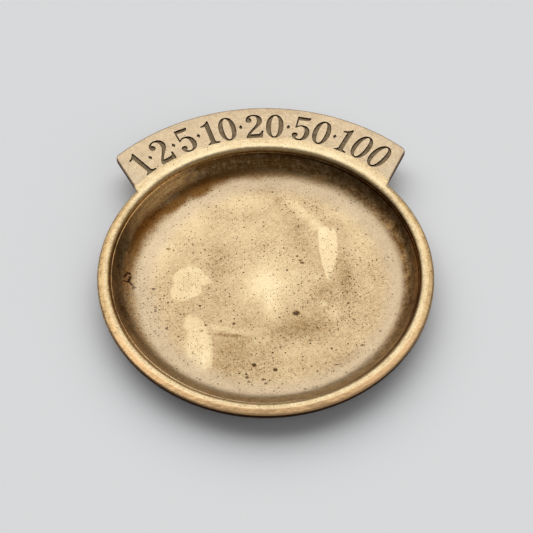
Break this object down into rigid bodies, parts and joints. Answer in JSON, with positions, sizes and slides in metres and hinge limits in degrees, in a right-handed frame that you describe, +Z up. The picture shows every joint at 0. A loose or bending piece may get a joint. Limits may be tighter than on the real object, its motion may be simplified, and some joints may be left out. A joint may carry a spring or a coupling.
{
  "type": "coin tray",
  "caption": "Round shallow cast brass tray for pocket coins, with a narrow raised rim and a flat curved tab behind it that is engraved with plain numerals.",
  "frame": {"origin": "middle of the footprint, on the surface that the tray stands on", "axes": "+Z up, +Y from the dish towards the tab, +X to the right when the numerals are read"},
  "size_m": [0.14, 0.1602, 0.0125],
  "materials": {
    "cast_brass": "aged, hand-polished casting with fine pits",
    "dark_filler": "matt, grainy",
    "felt": "pressed wool felt"
  },
  "bodies": {
    "root": {"tray_casting": "cast_brass", "value_1_infill": "dark_filler", "value_2_infill": "dark_filler", "value_5_infill": "dark_filler", "value_10_infill": "dark_filler", "value_20_infill": "dark_filler", "value_50_infill": "dark_filler", "value_100_infill": "dark_filler", "lozenge_infill": "dark_filler", "felt_pad_front_left": "felt", "felt_pad_front_right": "felt", "felt_pad_rear_left": "felt", "felt_pad_rear_right": "felt"}
  },
  "joints": []
}
